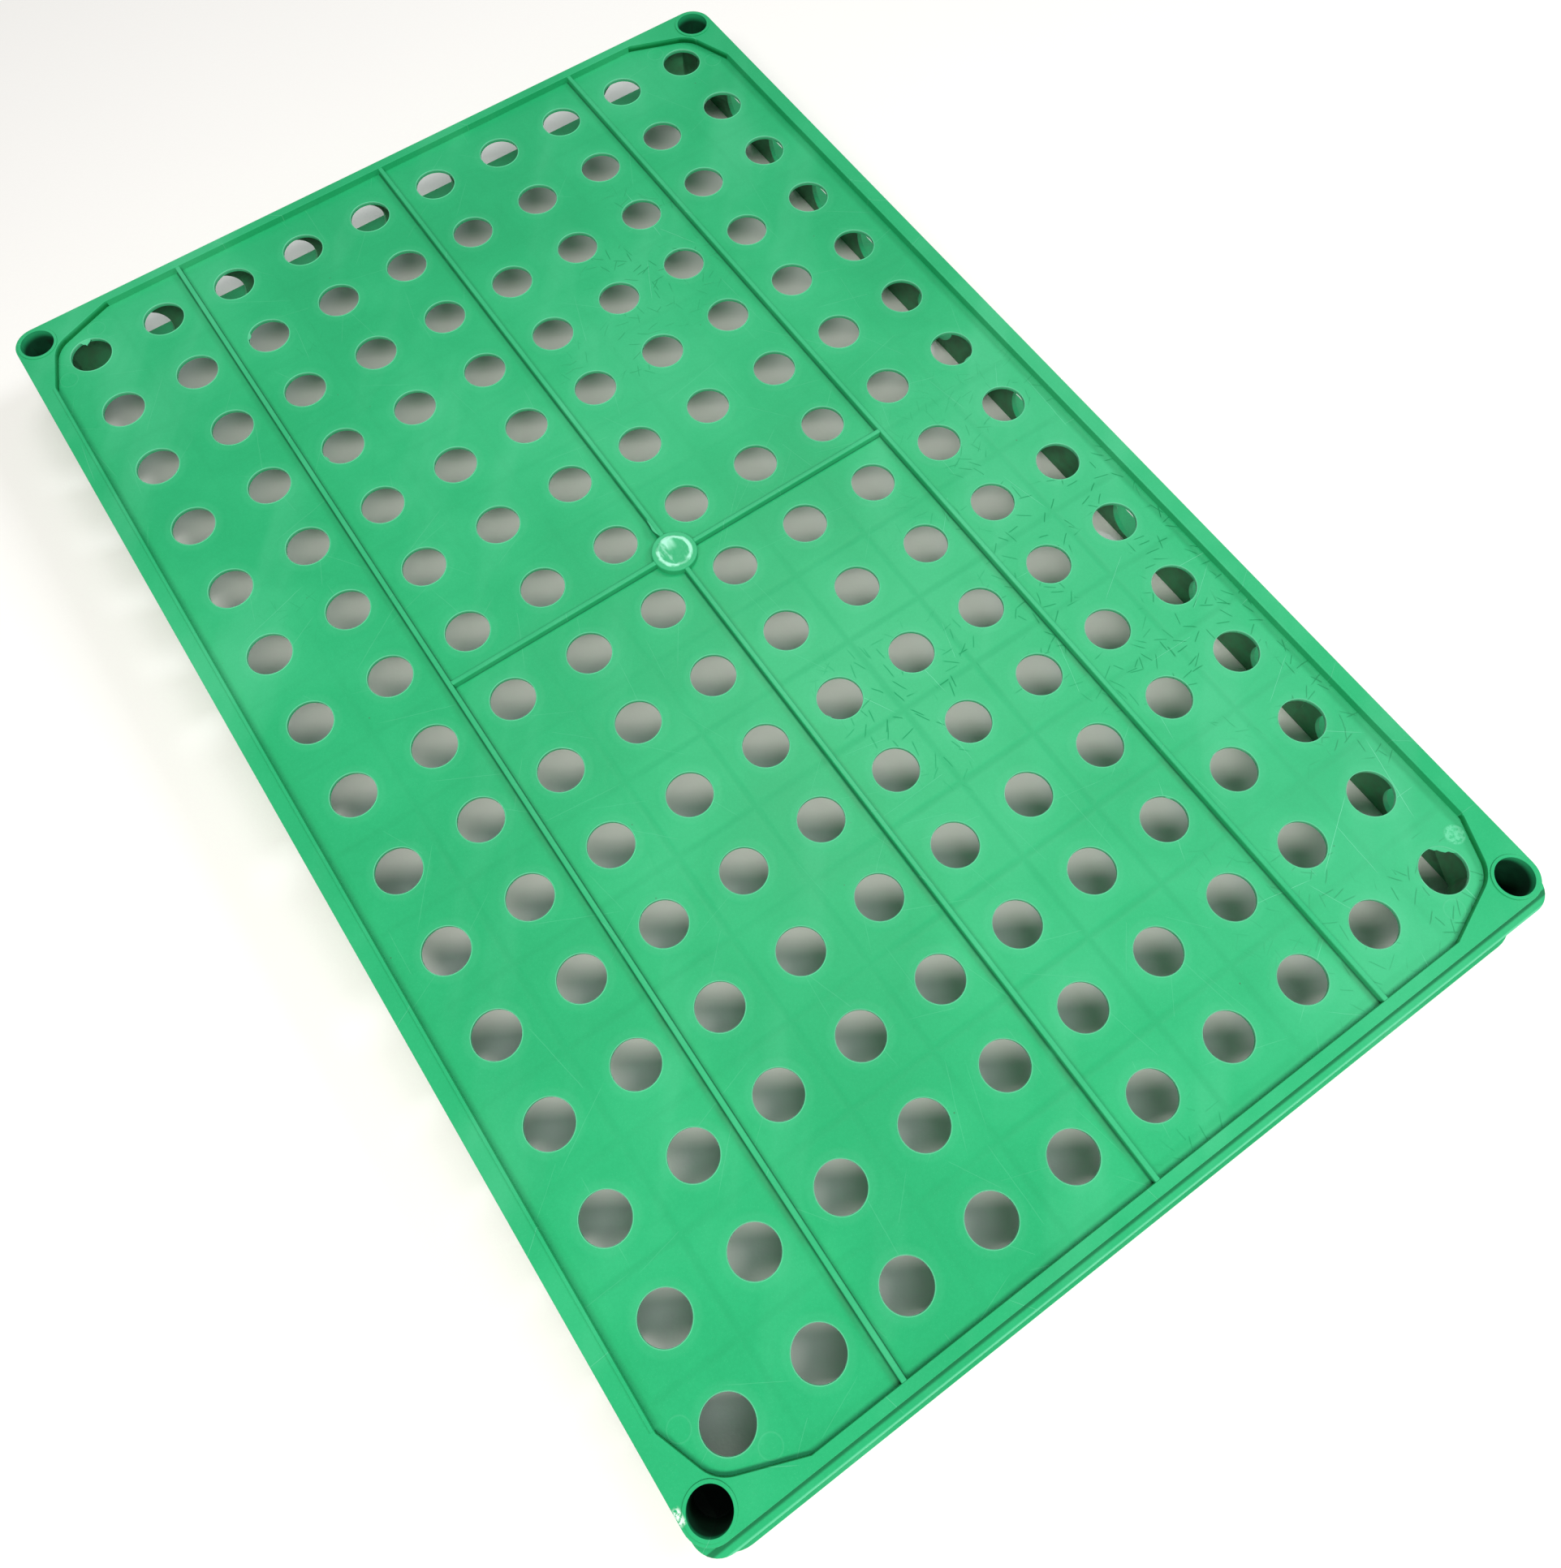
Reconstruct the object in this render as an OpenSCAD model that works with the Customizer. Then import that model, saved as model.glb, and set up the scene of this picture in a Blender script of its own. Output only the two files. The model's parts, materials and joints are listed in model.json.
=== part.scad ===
// Perforated stacking tray, lying base up on its open rim.
// The whole tray is one injection moulding. Each module below is one
// region of that moulding, and neighbours meet face to face.
// Origin: centre of the tray, on the surface it stands on. +Z is up,
// +X points to the right long side, +Y to the far short side.

/* [Hole grid] */
// Number of holes across the width
cols = 10; // [8:2:14]
// Number of holes along the length
rows = 15; // [13:1:19]
// Distance between hole centres across the width
pitch_x = 35.8; // [33:0.1:45]
// Distance between hole centres along the length
pitch_y = 37.5; // [35:0.1:45]
// Diameter of a hole
hole_d = 18.7; // [8:0.1:26]

/* [Heights] */
// Height of the base's upper surface above the floor
base_h = 37; // [32:0.5:60]
// Thickness of the perforated base
base_t = 1.5; // [1:0.1:3]
// Height of the rim above the base
rim_rise = 3.6; // [2.5:0.1:6]
// Thickness of the rim's flat band
rim_t = 2; // [1.2:0.1:2.2]
// Height of the bead along the long rims' inner edges
bead_h = 0.5; // [0.2:0.1:1]

/* [Rim and walls] */
// Rim's inner edge beyond the outer hole centres, on the long sides
rim_in_x = 20.1; // [18:0.1:21]
// Rim's inner edge beyond the outer hole centres, on the short sides
rim_in_y = 22; // [20:0.1:23]
// Rim's outer edge beyond the outer hole centres, on the long sides
rim_out_x = 27.5; // [26:0.1:30]
// Rim's outer edge beyond the outer hole centres, on the short sides
rim_out_y = 26.4; // [26:0.1:30]
// Width of the bead along the long rims' inner edges
bead_w = 1.3; // [0.8:0.1:2.4]
// Distance from the rim's inner edge back to the wall
wall_back = 0.8; // [0.4:0.1:1.2]
// Wall thickness
wall_t = 2.5; // [1.5:0.1:3]

/* [Ledge] */
// Outer edge of the ledge on the short sides, beyond the outer hole centres
ledge_out_y = 30.7; // [29:0.1:34]
// How far the ledge lies below the rim's flat band
ledge_drop = 3.6; // [2.5:0.1:6]
// Thickness of the ledge
ledge_t = 2.2; // [1.5:0.1:4]

/* [Wall windows] */
// Length of a window
window_l = 27; // [23:0.5:30]
// Height of a window
window_h = 22; // [12:0.5:22]
// Distance between neighbouring windows
window_pitch = 39.2; // [38:0.1:40]
// Number of windows grouped at each end of a long wall
end_windows = 4; // [1:1:4]
// Distance of the lone windows from the middle of a long wall
lone_window_y = 72.8; // [40:0.1:80]

/* [Foot flange] */
// Flange's outer edge beyond the outer hole centres, on the long sides
foot_out_x = 31.1; // [29:0.1:40]
// Flange's outer edge beyond the outer hole centres, on the short sides
foot_out_y = 37.5; // [32:0.1:42]
// Thickness of the flange
foot_t = 2.5; // [1.5:0.1:3]

/* [Corner sockets] */
// Diameter of the socket's bore
socket_d = 15; // [10:0.1:15.5]
// Outer diameter of the socket's tube
socket_tube_d = 18; // [17:0.1:18.4]
// Height of the closed bottom of the socket's tube above the floor
socket_z = 10; // [5:0.5:16]
// Height of the raised ring round the socket's mouth
socket_ring_h = 0.5; // [0.2:0.1:1]

/* [Ribs] */
// Width of a rib on the base
rib_w = 2.1; // [1:0.1:4]
// Height of a rib on the base
rib_h = 2.8; // [1:0.1:3]
// Diameter of the disc where the ribs cross
gate_d = 19.3; // [14:0.1:22]
// Height of that disc
gate_h = 3; // [1:0.1:3.5]
// Thickness of a strip of the lattice under the base
lattice_w = 1.5; // [0.8:0.1:3]
// Depth of the lattice under the base
lattice_h = 6; // [2:0.5:8]

/* [Hidden] */

// Half sizes of the field of hole centres
field_x = (cols - 1) * pitch_x / 2;
field_y = (rows - 1) * pitch_y / 2;

// Heights of the faces that regions share
base_bottom = base_h - base_t;
rim_top = base_h + rim_rise;
band_top = rim_top - bead_h;
band_bottom = band_top - rim_t;
ledge_top = band_top - ledge_drop;
ledge_bottom = ledge_top - ledge_t;

// Corner of the rim's inner edge, measured from the corner hole's centre:
// the edge leaves the long side here,
bend_long = 11.1;
// leaves the short side here,
bend_short = 17.2;
// and both slanted lines meet here, rounded to this radius
nose_x = 11.6;
nose_y = 10.8;
nose_r = 14;
// The walls run straight for longer than the rim does
wall_bend_long = 7;
wall_bend_short = 9;
// Straight rails end a little before the bends
rail_gap = 0.9;

// Socket centres: concentric with the rim's rounded corners
corner_r = 10;
socket_x = field_x + rim_out_x - corner_r;
socket_y = field_y + rim_out_y - corner_r;
socket_floor = socket_z + wall_t;
socket_ring_d = socket_d + 2.6;

// Inner faces of the walls, and the rounding where they meet near the floor
wall_x = field_x + rim_in_x + wall_back;
wall_y = field_y + rim_in_y + wall_back;
wall_corner_r = 8;
foot_corner_r = 14;

// Ends of the straight stretches of the rim and of the walls
rim_end_x = field_x - bend_short - rail_gap;
rim_end_y = field_y - bend_long - rail_gap;
wall_end_x = field_x - wall_bend_short;
wall_end_y = field_y - wall_bend_long;

// Windows: just above the flange, and clear of the bends
window_z = foot_t + 0.5 + window_h / 2;
last_window_y = wall_end_y - window_l / 2 - 1;
short_windows = cols - 2;

// Places of the ribs: the outer ones stand inside the second column of
// holes, and the cross rib runs between two rows next to the middle
long_rib_x = field_x - 1.5 * pitch_x;
cross_rib_y = (rows % 2) * pitch_y / 2;

// The tray's colours: the plain moulding, its raised parts and its underside
moulding = "mediumseagreen";
raised = "seagreen";
inner = "darkgreen";

arc_steps = 10;
big = 1000;

function unit(v) = v / norm(v);
function right_of(v) = [v[1], -v[0]];

// Vertex b of the path a-b-c, after the path moved outwards by g
function moved(a, b, c, g) =
    let (m = right_of(unit(b - a)), n = right_of(unit(c - b)))
    b + g * (m + n) / (1 + m * n);

// Points of the arc of radius r that rounds the vertex b of the path a-b-c
function rounded(a, b, c, r) =
    let (u = unit(a - b), v = unit(c - b), half = acos(u * v) / 2)
    let (centre = b + unit(u + v) * r / sin(half))
    let (from = right_of(-u), turn = 180 - 2 * half)
    [for (k = [0 : arc_steps])
        let (t = atan2(from[1], from[0]) + turn * k / arc_steps)
        centre + r * [cos(t), sin(t)]];

// One quarter of the rim's inner edge, from the long side to the short one.
// s and t say how far before the corner hole the bends lie, g moves it outwards
function edge_quarter(s, t, g) =
    let (a = [field_x + rim_in_x, 0], b = [a[0], field_y - s])
    let (n = [field_x + nose_x, field_y + nose_y])
    let (f = [0, field_y + rim_in_y], e = [field_x - t, f[1]])
    let (b2 = moved(a, b, n, g), n2 = moved(b, n, e, g), e2 = moved(n, e, f, g))
    concat([b2], rounded(b2, n2, e2, nose_r), [e2]);

// One quarter of a rectangle with half sizes x and y, rounded to radius r
function box_quarter(x, y, r) = rounded([x, 0], [x, y], [0, y], r);

// The whole outline whose quarter is q
function all_round(q) =
    let (last = len(q) - 1)
    concat(q,
           [for (k = [last : -1 : 0]) [-q[k][0], q[k][1]]],
           [for (k = [0 : last]) [-q[k][0], -q[k][1]]],
           [for (k = [last : -1 : 0]) [q[k][0], -q[k][1]]]);

rim_edge = all_round(edge_quarter(bend_long, bend_short, 0));
wall_inside = all_round(edge_quarter(wall_bend_long, wall_bend_short, wall_back));
wall_outside = all_round(edge_quarter(wall_bend_long, wall_bend_short, wall_back + wall_t));
rim_outside = all_round(box_quarter(field_x + rim_out_x, field_y + rim_out_y, corner_r));
ledge_outside = all_round(box_quarter(field_x + rim_out_x, field_y + ledge_out_y, corner_r));
skirt_inside = all_round(box_quarter(wall_x, wall_y, wall_corner_r));
skirt_outside = all_round(box_quarter(wall_x + wall_t, wall_y + wall_t, wall_corner_r + wall_t));
foot_outside = all_round(box_quarter(field_x + foot_out_x, field_y + foot_out_y, foot_corner_r));

// An upright prism between two heights
module prism(outline, z0, z1) {
    translate([0, 0, z0])
        linear_extrude(z1 - z0)
            polygon(outline);
}

// What lies between two outlines, inner and outer, and between two heights
module band(inside, outside, z0, z1) {
    difference() {
        prism(outside, z0, z1);
        prism(inside, z0 - 1, z1 + 1);
    }
}

// A block from one corner to the opposite one
module block(from, to) {
    translate(from)
        cube(to - from);
}

// Mirrors its children to the side that sx and sy name, each 1 or -1
module side(sx, sy) {
    mirror([sx < 0 ? 1 : 0, 0, 0])
        mirror([0, sy < 0 ? 1 : 0, 0])
            children();
}

// Round-ended window through a wall that faces +Y, centred on x
module window(x) {
    reach = (window_l - window_h) / 2;
    translate([x, 0, window_z]) {
        for (s = [-1, 1])
            translate([s * reach, 0, 0])
                rotate([90, 0, 0])
                    cylinder(h = 4 * wall_t, d = window_h, center = true, $fn = 48);
        cube([2 * reach, 4 * wall_t, window_h], center = true);
    }
}

// Cross-section of a rim rail: x is the distance beyond the outer hole
// centres, y the height. The bead is along its inner edge
module rail_section(in, out, bead) {
    back = in + wall_back + wall_t;
    polygon([[in, base_h], [in, band_top + bead], [in + bead_w, band_top + bead],
             [in + bead_w, band_top], [out, band_top], [out, band_bottom],
             [back, band_bottom], [back, base_h]]);
}

// Base with its grid of round holes
module base_plate() {
    color(moulding)
        difference() {
            prism(wall_inside, base_bottom, base_h);
            for (i = [0 : cols - 1], j = [0 : rows - 1])
                translate([i * pitch_x - field_x, j * pitch_y - field_y, base_bottom - 1])
                    cylinder(h = base_t + 2, d = hole_d, $fn = 40);
        }
}

// Shallow strips under the base, midway between the holes
module underside_lattice() {
    color(inner)
        intersection() {
            prism(wall_inside, base_bottom - lattice_h, base_bottom);
            union() {
                for (i = [0 : cols - 2])
                    translate([(i + 0.5) * pitch_x - field_x, 0, base_bottom])
                        cube([lattice_w, big, 2 * lattice_h], center = true);
                for (j = [0 : rows - 2])
                    translate([0, (j + 0.5) * pitch_y - field_y, base_bottom])
                        cube([big, lattice_w, 2 * lattice_h], center = true);
            }
        }
}

// Straight raised rim along a long side
module long_rim(s) {
    color(moulding)
        side(s, 1)
            translate([field_x, rim_end_y, 0])
                rotate([90, 0, 0])
                    linear_extrude(2 * rim_end_y)
                        rail_section(rim_in_x, rim_out_x, bead_h);
}

// Straight raised rim along a short side
module short_rim(s) {
    color(moulding)
        side(1, s)
            translate([-rim_end_x, field_y, 0])
                rotate([90, 0, 90])
                    linear_extrude(2 * rim_end_x)
                        rail_section(rim_in_y, rim_out_y, 0);
}

// Upright wall of a long side, with its round-ended windows
module long_wall(s) {
    lone = [-lone_window_y, 0, lone_window_y];
    ends = [for (e = [-1, 1], k = [0 : end_windows - 1]) e * (last_window_y - k * window_pitch)];
    color(moulding)
        side(s, 1)
            difference() {
                block([wall_x, -wall_end_y, foot_t], [wall_x + wall_t, wall_end_y, base_h]);
                translate([wall_x, 0, 0])
                    rotate([0, 0, 90])
                        for (y = concat(lone, ends))
                            window(y);
            }
}

// Upright wall of a short side, with its round-ended windows
module short_wall(s) {
    color(moulding)
        side(1, s)
            difference() {
                block([-wall_end_x, wall_y, foot_t], [wall_end_x, wall_y + wall_t, base_h]);
                translate([0, wall_y, 0])
                    for (k = [0 : short_windows - 1])
                        window((k - (short_windows - 1) / 2) * window_pitch);
            }
}

// Ledge outside a short wall, a little below the rim
module short_ledge(s) {
    color(raised)
        side(1, s)
            block([-wall_end_x, wall_y + wall_t, ledge_bottom],
                  [wall_end_x, field_y + ledge_out_y, ledge_top]);
}

// Flange along the foot of a long side
module long_foot(s) {
    color(raised)
        side(s, 1)
            block([wall_x, -wall_end_y, 0], [field_x + foot_out_x, wall_end_y, foot_t]);
}

// Flange along the foot of a short side, round both corners
module short_foot(s) {
    color(raised)
        side(1, s)
            intersection() {
                band(skirt_inside, foot_outside, 0, foot_t);
                block([-big, wall_end_y, -1], [big, big, foot_t + 1]);
            }
}

// Corner: raised plate, blind socket, the wall that bends round it and the
// end of the ledge
module corner(sx, sy) {
    color(moulding)
        side(sx, sy)
            difference() {
                union() {
                    intersection() {
                        union() {
                            band(rim_edge, rim_outside, band_bottom, band_top);
                            band(rim_edge, wall_outside, base_h, band_bottom);
                        }
                        block([rim_end_x, rim_end_y, 0], [big, big, big]);
                    }
                    intersection() {
                        union() {
                            band(wall_inside, wall_outside, socket_z, base_h);
                            band(wall_inside, skirt_outside, socket_z, socket_floor);
                            band(skirt_inside, skirt_outside, foot_t, socket_z);
                        }
                        block([wall_end_x, wall_end_y, 0], [big, big, big]);
                    }
                    intersection() {
                        band(wall_inside, ledge_outside, ledge_bottom, ledge_top);
                        block([wall_end_x, socket_y, 0], [big, big, big]);
                    }
                    translate([socket_x, socket_y, socket_z])
                        cylinder(h = band_bottom - socket_z, d = socket_tube_d, $fn = 64);
                    translate([socket_x, socket_y, band_bottom])
                        cylinder(h = rim_t + socket_ring_h, d = socket_ring_d, $fn = 64);
                }
                translate([socket_x, socket_y, socket_floor])
                    cylinder(h = rim_top, d = socket_d, $fn = 64);
            }
}

// Straight rib on top of the base
module rib(from, to) {
    color(raised)
        block([from[0], from[1], base_h], [to[0], to[1], base_h + rib_h]);
}

// Full-length rib beside the outer two columns of holes
module long_rib(s) {
    x = s * long_rib_x;
    y = field_y + rim_in_y;
    rib([x - rib_w / 2, -y], [x + rib_w / 2, y]);
}

// Half of the middle rib, up to the disc
module centre_rib(s) {
    color(raised)
        difference() {
            side(1, s)
                block([-rib_w / 2, s * cross_rib_y, base_h],
                      [rib_w / 2, field_y + rim_in_y, base_h + rib_h]);
            gate(1);
        }
}

// Half of the cross rib, up to the disc
module cross_rib(s) {
    color(raised)
        difference() {
            side(s, 1)
                block([0, cross_rib_y - rib_w / 2, base_h],
                      [long_rib_x - rib_w / 2, cross_rib_y + rib_w / 2, base_h + rib_h]);
            gate(1);
        }
}

// The disc's solid, reaching past its faces by extra
module gate(extra) {
    translate([0, cross_rib_y, base_h - extra])
        cylinder(h = gate_h + 2 * extra, d = gate_d, $fn = 64);
}

// Disc where the plastic entered the mould
module gate_disc() {
    color(raised)
        gate(0);
}

base_plate();
underside_lattice();
long_rim(-1);  // rim_left
long_rim(1);  // rim_right
short_rim(1);  // rim_far
short_rim(-1);  // rim_near
corner(-1, 1);  // corner_far_left
corner(1, 1);  // corner_far_right
corner(-1, -1);  // corner_near_left
corner(1, -1);  // corner_near_right
long_wall(-1);  // wall_left
long_wall(1);  // wall_right
short_wall(1);  // wall_far
short_wall(-1);  // wall_near
short_ledge(1);  // ledge_far
short_ledge(-1);  // ledge_near
long_foot(-1);  // foot_left
long_foot(1);  // foot_right
short_foot(1);  // foot_far
short_foot(-1);  // foot_near
long_rib(-1);  // long_rib_left
long_rib(1);  // long_rib_right
centre_rib(1);  // centre_rib_far
centre_rib(-1);  // centre_rib_near
cross_rib(-1);  // cross_rib_left
cross_rib(1);  // cross_rib_right
gate_disc();
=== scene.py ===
"""Finish, light and camera for a perforated stacking tray that lies base up."""

import json
import math

import bmesh
import bpy
from bpy.props import FloatProperty, FloatVectorProperty, IntProperty, PointerProperty
from mathutils import Matrix, Vector, noise
from mathutils.bvhtree import BVHTree

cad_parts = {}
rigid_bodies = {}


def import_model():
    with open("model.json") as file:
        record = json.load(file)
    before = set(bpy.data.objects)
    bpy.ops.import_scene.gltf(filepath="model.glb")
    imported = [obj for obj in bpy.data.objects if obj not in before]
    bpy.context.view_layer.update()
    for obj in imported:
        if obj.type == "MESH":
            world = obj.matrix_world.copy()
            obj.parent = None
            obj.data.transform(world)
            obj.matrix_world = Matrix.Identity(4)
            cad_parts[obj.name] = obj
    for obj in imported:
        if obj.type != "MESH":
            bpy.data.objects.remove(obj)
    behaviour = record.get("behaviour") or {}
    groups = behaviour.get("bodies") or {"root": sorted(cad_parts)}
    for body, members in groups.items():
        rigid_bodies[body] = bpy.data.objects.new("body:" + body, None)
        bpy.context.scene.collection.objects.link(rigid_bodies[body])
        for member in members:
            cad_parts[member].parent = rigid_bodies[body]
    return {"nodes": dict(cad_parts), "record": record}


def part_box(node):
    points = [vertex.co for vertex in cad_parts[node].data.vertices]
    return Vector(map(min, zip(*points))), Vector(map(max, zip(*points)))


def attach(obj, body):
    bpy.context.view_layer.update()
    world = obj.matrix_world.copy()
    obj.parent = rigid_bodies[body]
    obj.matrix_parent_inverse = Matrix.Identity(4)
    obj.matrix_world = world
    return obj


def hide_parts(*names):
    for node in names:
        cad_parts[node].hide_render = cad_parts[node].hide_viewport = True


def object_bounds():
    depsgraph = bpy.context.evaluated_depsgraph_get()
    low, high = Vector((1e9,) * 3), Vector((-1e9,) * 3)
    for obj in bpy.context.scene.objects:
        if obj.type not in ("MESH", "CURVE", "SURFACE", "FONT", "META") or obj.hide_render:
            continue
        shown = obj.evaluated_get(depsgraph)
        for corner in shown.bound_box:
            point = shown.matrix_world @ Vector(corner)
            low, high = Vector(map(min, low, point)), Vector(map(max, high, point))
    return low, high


bl_info = {
    "name": "Perforated tray finish",
    "version": (1, 0, 0),
    "blender": (4, 5, 0),
    "location": "3D View > Sidebar > Tray",
    "description": "Dresses a packed tray in worn green plastic and sets up its studio",
    "category": "Object",
}

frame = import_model()
CAD_LOW, CAD_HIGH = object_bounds()
BASE_LOW, BASE_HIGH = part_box("base_plate")
GATE_LOW, GATE_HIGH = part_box("gate_disc")
GATE = Vector(((GATE_LOW.x + GATE_HIGH.x) / 2, (GATE_LOW.y + GATE_HIGH.y) / 2, GATE_HIGH.z))
SOCKET = next(m for m in frame["record"]["mounts"] if m["kind"] == "bore")

BODY = "root"
MM = 0.001
CONTACT = 0.02 * MM
SAME_POINT = MM / 1000
FLAT = math.radians(0.3)
SHARP = math.radians(30)
# A height below everything, for a rounding that holds for every edge
LOWEST = -1.0

LONG_RIBS = ("long_rib_left", "long_rib_right", "centre_rib_far", "centre_rib_near")
CROSS_RIBS = ("cross_rib_left", "cross_rib_right")

# The four sockets are alike, so one quarter of the tray tells where they all are
SOCKET_X, SOCKET_Y, SOCKET_MIDDLE = (abs(place) for place in SOCKET["pos_m"])
SOCKET_RADIUS = SOCKET["dims"]["r_mm"] * MM
SOCKET_FLOOR = SOCKET_MIDDLE - SOCKET["dims"]["length_mm"] / 2 * MM

# Marks of the mould and of use; the ejectors are given for one quarter
EJECTOR_PLACES = ((175.0 * MM, 254.9 * MM), (153.4 * MM, 275.5 * MM))
EJECTOR_RADIUS = 4.0 * MM
KNOCK_PLACE = (-187.4 * MM, -274.9 * MM)

PLASTIC_IOR = 1.49
# Painted shade along the feet of the ribs
RIB_FOOT_SHADE = (0.008, 0.100, 0.040, 1.0)
# Painted shade for the angle between rim and ledge
LEDGE_ANGLE_SHADE = (0.006, 0.100, 0.035, 1.0)
# Painted shade: near black for the inside of the sockets
SOCKET_SHADE = (0.004, 0.008, 0.006, 1.0)
TORN = (0.36, 0.80, 0.58, 1.0)
KNOCKED = (0.80, 0.90, 0.85, 1.0)


# ---------------------------------------------------------------- settings


class TraySizes(bpy.types.PropertyGroup):
    """Sizes of the fine shapes that the finish adds"""

    holes_across: IntProperty(
        name="Holes across", description="Holes in one row across the width", default=10
    )
    holes_along: IntProperty(
        name="Holes along", description="Holes in one row along the length", default=15
    )
    pitch_across: FloatProperty(
        name="Pitch across",
        description="Distance between hole centres across the width",
        default=35.8 * MM,
        unit="LENGTH",
    )
    pitch_along: FloatProperty(
        name="Pitch along",
        description="Distance between hole centres along the length",
        default=37.5 * MM,
        unit="LENGTH",
    )
    hole_radius: FloatProperty(
        name="Hole radius", description="Radius of a hole", default=9.35 * MM, unit="LENGTH"
    )
    lip_width: FloatProperty(
        name="Lip width",
        description="Width of the rounded lip round a hole",
        default=0.42 * MM,
        unit="LENGTH",
    )
    lip_height: FloatProperty(
        name="Lip height",
        description="How far the lip stands above the base",
        default=0.22 * MM,
        unit="LENGTH",
    )
    edge_round: FloatProperty(
        name="Edge rounding",
        description="Rounding of the moulding's free edges",
        default=0.45 * MM,
        unit="LENGTH",
    )


class TrayColours(bpy.types.PropertyGroup):
    """Colours of the plastic"""

    moulding: FloatVectorProperty(
        name="Moulding",
        description="Colour of the plain moulding",
        subtype="COLOR",
        default=(0.020, 0.405, 0.155),
    )
    # Also used for the painted sheen at the near right of the base and the painted highlight on the
    # ledge's outer edge
    pale: FloatVectorProperty(
        name="Pale",
        description="Colour of scuffs, lips and stressed plastic",
        subtype="COLOR",
        default=(0.20, 0.70, 0.43),
    )
    deep: FloatVectorProperty(
        name="Deep",
        description="Colour of the plastic in grooves and where it is thick",
        subtype="COLOR",
        default=(0.006, 0.235, 0.080),
    )
    # Used for dark specks and splashes, for the band beside the long ribs, and for painted shade on
    # the inner faces of the walls
    grime_and_shade: FloatVectorProperty(
        name="Grime",
        description="Colour of the dirt that collects at the foot of ribs and rim",
        subtype="COLOR",
        default=(0.055, 0.075, 0.045),
    )
    floor: FloatVectorProperty(
        name="Floor",
        description="Colour of the floor",
        subtype="COLOR",
        default=(0.92, 0.90, 0.87),
    )


class TrayStudio(bpy.types.PropertyGroup):
    """Light and view"""

    main_power: FloatProperty(
        name="Main light", description="Power of the light in front", default=27.0, min=0.0
    )
    ceiling_power: FloatProperty(
        name="Ceiling", description="Power of the soft light overhead", default=4.8, min=0.0
    )
    side_power: FloatProperty(
        name="Side light", description="Power of the cool light at the right", default=22.0, min=0.0
    )
    room_light: FloatProperty(
        name="Room", description="Strength of the light from all round", default=0.26, min=0.0
    )
    lens: FloatProperty(
        name="Lens", description="Focal length of the camera in millimetres", default=26.4
    )


# ---------------------------------------------------------------- shader maths


class Wire:
    """One output of a material's node, so that shader maths reads as Python"""

    def __init__(self, tree, socket=None):
        self.tree = tree
        self.socket = socket

    def node(self, kind, settings=None, inputs=None, output=0):
        """Adds a node: its settings first, then the values or wires of its sockets"""
        made = self.tree.nodes.new(kind)
        for name, value in (settings or {}).items():
            setattr(made, name, value)
        for name, value in (inputs or {}).items():
            if isinstance(value, Wire):
                self.tree.links.new(value.socket, made.inputs[name])
            else:
                made.inputs[name].default_value = value
        return Wire(self.tree, made.outputs[output])

    def maths(self, operation, *values):
        """Adds a Math node"""
        inputs = dict(enumerate(values))
        return self.node("ShaderNodeMath", {"operation": operation}, inputs)

    def __add__(self, other):
        return self.maths("ADD", self, other)

    def __radd__(self, other):
        return self.maths("ADD", other, self)

    def __sub__(self, other):
        return self.maths("SUBTRACT", self, other)

    def __rsub__(self, other):
        return self.maths("SUBTRACT", other, self)

    def __mul__(self, other):
        return self.maths("MULTIPLY", self, other)

    def __rmul__(self, other):
        return self.maths("MULTIPLY", other, self)

    def __truediv__(self, other):
        return self.maths("DIVIDE", self, other)

    def __abs__(self):
        return self.maths("ABSOLUTE", self)

    def fraction(self):
        """What is left after the whole number"""
        return self.maths("FRACT", self)

    def hypot(self, other):
        """Length of the hypotenuse"""
        return self.maths("SQRT", self * self + other * other)

    def highest(self, *others):
        """The largest of this and the others"""
        wire = self
        for other in others:
            wire = self.maths("MAXIMUM", wire, other)
        return wire

    def rise(self, low, high):
        """0 below low, 1 above high and smooth between them"""
        inputs = {"Value": self, "From Min": low, "From Max": high}
        return self.node("ShaderNodeMapRange", {"interpolation_type": "SMOOTHSTEP"}, inputs)

    def fall(self, low, high):
        """1 below low, 0 above high and smooth between them"""
        return 1.0 - self.rise(low, high)

    def bump_at(self, centre, half_width):
        """1 where this is at centre, down to 0 half_width away"""
        return abs(self - centre).fall(0.0, half_width)

    def mix(self, start, end):
        """Colour between start and end, with this as the factor"""
        settings = {"data_type": "RGBA", "clamp_factor": True}
        return self.node("ShaderNodeMix", settings, {0: self, 6: start, 7: end}, output=2)

    def speckle(self, scale, detail=3.0, roughness=0.55, squash=(1.0, 1.0, 1.0)):
        """Soft noise from 0 to 1 over this position, in features per metre"""
        place = self.node(
            "ShaderNodeVectorMath", {"operation": "MULTIPLY"}, {0: self, 1: Vector(squash)}
        )
        inputs = {"Vector": place, "Scale": scale, "Detail": detail, "Roughness": roughness}
        return self.node("ShaderNodeTexNoise", {}, inputs)

    def turned(self, degrees):
        """This position, turned about the upright axis"""
        inputs = {"Vector": self, "Angle": math.radians(degrees)}
        return self.node("ShaderNodeVectorRotate", {"rotation_type": "Z_AXIS"}, inputs)


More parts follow.
